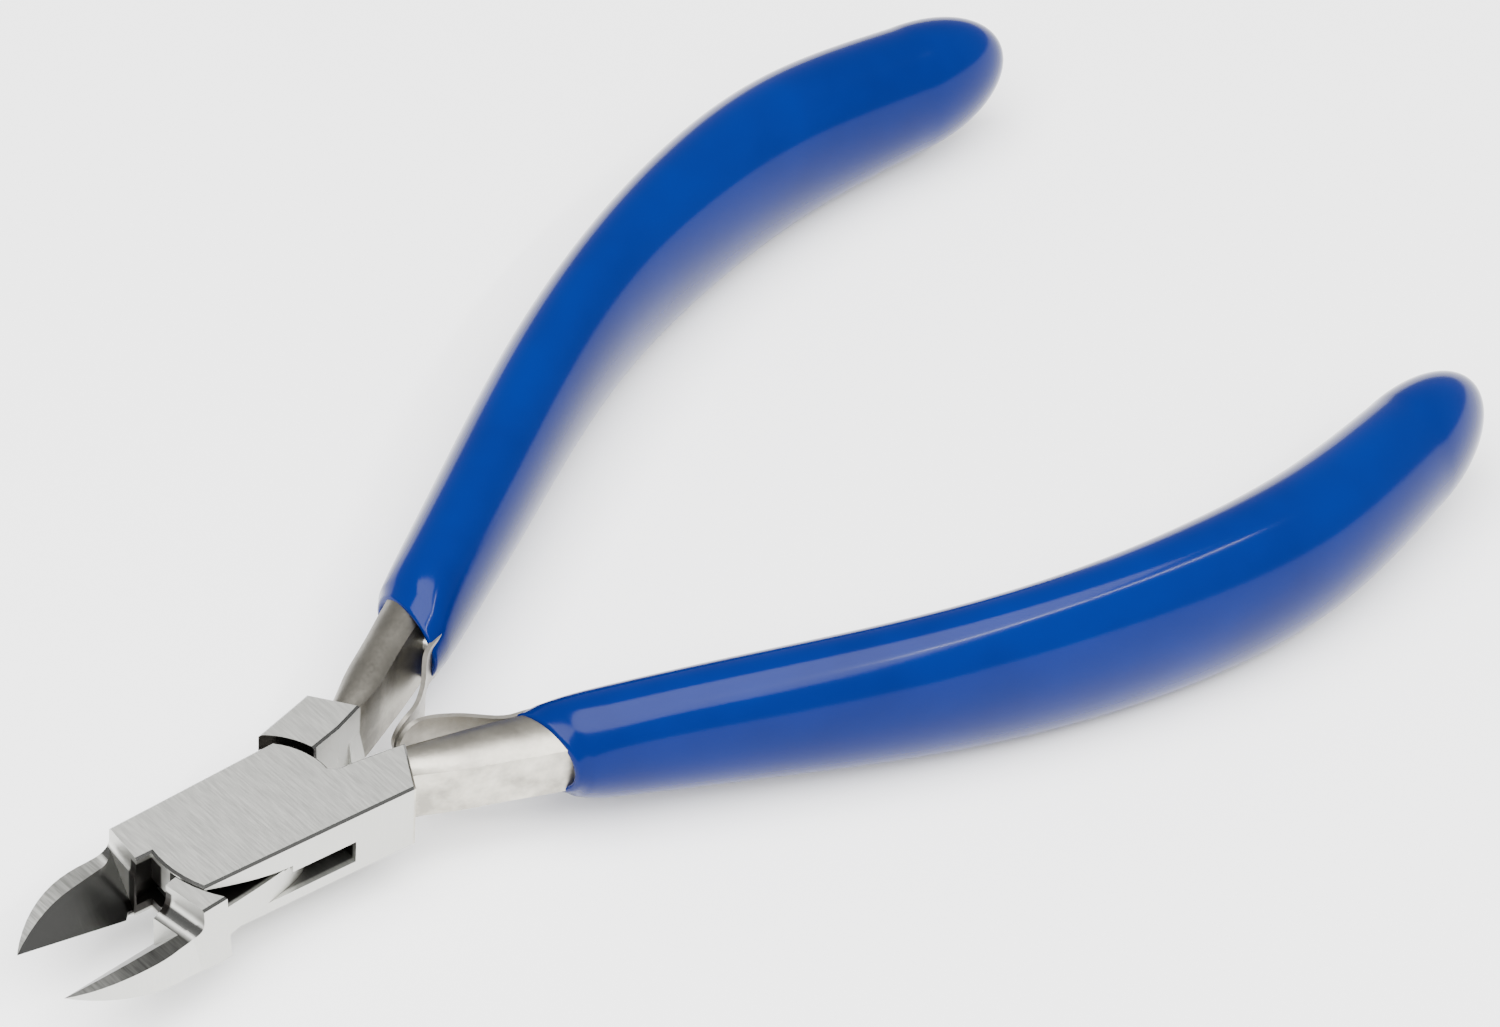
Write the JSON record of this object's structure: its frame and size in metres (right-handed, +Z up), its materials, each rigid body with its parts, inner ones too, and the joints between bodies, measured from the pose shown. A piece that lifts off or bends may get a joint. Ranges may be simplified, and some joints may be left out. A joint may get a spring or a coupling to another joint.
{
  "type": "flush cut pliers",
  "caption": "Flush cut pliers with a box joint, dipped blue handles and leaf springs, for trimming filament and printed parts.",
  "frame": {"origin": "on the pivot axis at the underside of the box joint", "axes": "+X runs along the centreline from the pivot towards the handles, +Y is the side of the inner half's handle, +Z is up, along the pivot axis"},
  "size_m": [0.1402, 0.078, 0.0174],
  "materials": {
    "ground_steel": "satin",
    "spring_steel": "satin",
    "blue_grip": "glossy"
  },
  "bodies": {
    "root": {"box_half": "ground_steel", "pivot_pin": "ground_steel", "lower_grip": "blue_grip", "lower_spring_rivet": "ground_steel"},
    "inner": {"inner_half": "ground_steel", "upper_grip": "blue_grip", "upper_spring_rivet": "ground_steel"},
    "lower_leaf": {"lower_leaf_spring": "spring_steel"},
    "upper_leaf": {"upper_leaf_spring": "spring_steel"}
  },
  "joints": [
    {"name": "pivot", "type": "hinge", "parent": "root", "child": "inner", "pos_m": [0, 0, 0], "axis": [0, 0, 1], "range_deg": [-14.4, 5], "stiffness_Nm_per_rad": 0.05},
    {"name": "lower_leaf_root", "type": "hinge", "parent": "root", "child": "lower_leaf", "pos_m": [0.02536, -0.00602, 0], "axis": [0, 0, 1], "range_deg": [-4, 11.5]},
    {"name": "upper_leaf_root", "type": "hinge", "parent": "inner", "child": "upper_leaf", "pos_m": [0.02536, 0.00602, 0], "axis": [0, 0, 1], "range_deg": [-11.5, 4]}
  ],
  "couplings": [
    {"joint": "lower_leaf_root", "follows": "pivot", "ratio": -0.78},
    {"joint": "upper_leaf_root", "follows": "pivot", "ratio": 0.78}
  ]
}
